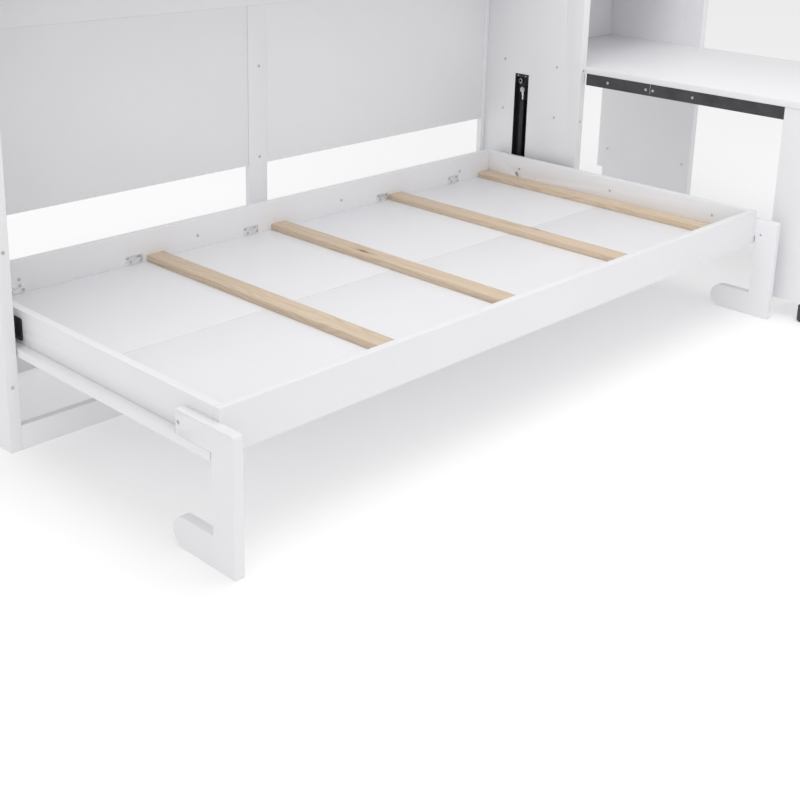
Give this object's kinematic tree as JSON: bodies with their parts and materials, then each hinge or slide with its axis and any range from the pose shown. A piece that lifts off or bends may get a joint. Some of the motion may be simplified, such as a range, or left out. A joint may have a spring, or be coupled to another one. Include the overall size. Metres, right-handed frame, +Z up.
{
  "type": "murphy wall bed",
  "caption": "Fold-down wall bed: slatted tray on hook-shaped legs, hinged with gas springs in an open cabinet, with a desk and shelves at one end.",
  "frame": {"origin": "centre of the base of the bounding box, on the floor, with the bed folded down", "axes": "+X along the bed towards the desk, +Y towards the wall, +Z up"},
  "size_m": [2.842, 1.363, 1.25],
  "materials": {
    "white_board": "satin white painted board",
    "pine": "bare planed pine",
    "zinc_steel": "zinc plated",
    "chromed_rod": "polished",
    "black_steel": "black powder coat",
    "grey_steel": "dark grey powder coat",
    "dark_plastic": "moulded",
    "beech": "turned beech"
  },
  "bodies": {
    "cabinet": {"left_side_panel": "white_board", "right_side_panel": "white_board", "top_board": "white_board", "front_base_rail": "white_board", "rear_base_rail": "white_board", "centre_post": "white_board", "left_back_stile": "white_board", "right_back_stile": "white_board", "middle_back_rail": "white_board", "upper_back_rail": "white_board", "left_back_panel": "white_board", "right_back_panel": "white_board", "left_upper_panel": "white_board", "right_upper_panel": "white_board", "cabinet_screws": "zinc_steel", "left_spring_channel": "black_steel", "right_spring_channel": "black_steel", "left_hinge_plate": "black_steel", "right_hinge_plate": "black_steel", "hinge_pins": "zinc_steel", "spring_studs": "zinc_steel", "spring_clips": "zinc_steel", "desktop": "white_board", "rear_desk_beam": "grey_steel", "front_desk_beam": "grey_steel", "beam_screws": "zinc_steel", "desk_end_panel": "white_board", "left_desk_leg": "white_board", "right_desk_leg": "white_board", "desk_leg_board": "white_board", "desk_back_panel": "white_board", "desk_shelf": "white_board", "desk_top_board": "white_board", "desk_glides": "dark_plastic"},
    "bed": {"front_rail": "white_board", "rear_rail": "white_board", "left_end_panel": "white_board", "right_end_panel": "white_board", "bottom_board_front": "white_board", "bottom_board_rear": "white_board", "slat_1": "pine", "slat_2": "pine", "slat_3": "pine", "slat_4": "pine", "slat_5": "pine", "slat_brackets": "zinc_steel", "tray_screws": "zinc_steel", "left_gap_strip": "white_board", "right_gap_strip": "white_board", "left_leg": "white_board", "right_leg": "white_board", "leg_bolts": "zinc_steel", "leg_dowels": "beech", "left_crank_plate": "black_steel", "right_crank_plate": "black_steel", "crank_studs": "zinc_steel"},
    "left_rod": {"left_spring_rod": "chromed_rod"},
    "right_rod": {"right_spring_rod": "chromed_rod"},
    "left_cylinder": {"left_spring_cylinder": "black_steel"},
    "right_cylinder": {"right_spring_cylinder": "black_steel"}
  },
  "joints": [
    {"name": "bed_fold", "type": "hinge", "parent": "cabinet", "child": "bed", "pos_m": [-0.364, 0.474, 0.265], "axis": [-1, 0, 0], "range_deg": [0, 90]},
    {"name": "left_spring_swing", "type": "hinge", "parent": "cabinet", "child": "left_rod", "pos_m": [-1.402, 0.51, 0.544], "axis": [1, 0, 0], "range_deg": [0, 3.1]},
    {"name": "left_spring_stroke", "type": "slide", "parent": "left_rod", "child": "left_cylinder", "axis": [0, 0, -1], "range_m": [0, 0.0722]},
    {"name": "right_spring_swing", "type": "hinge", "parent": "cabinet", "child": "right_rod", "pos_m": [0.674, 0.51, 0.544], "axis": [1, 0, 0], "range_deg": [0, 3.1]},
    {"name": "right_spring_stroke", "type": "slide", "parent": "right_rod", "child": "right_cylinder", "axis": [0, 0, -1], "range_m": [0, 0.0722]}
  ],
  "couplings": [
    {"joint": "left_spring_stroke", "follows": "bed_fold", "m_per_rad": 0.045837},
    {"joint": "right_spring_stroke", "follows": "bed_fold", "m_per_rad": 0.045837}
  ]
}
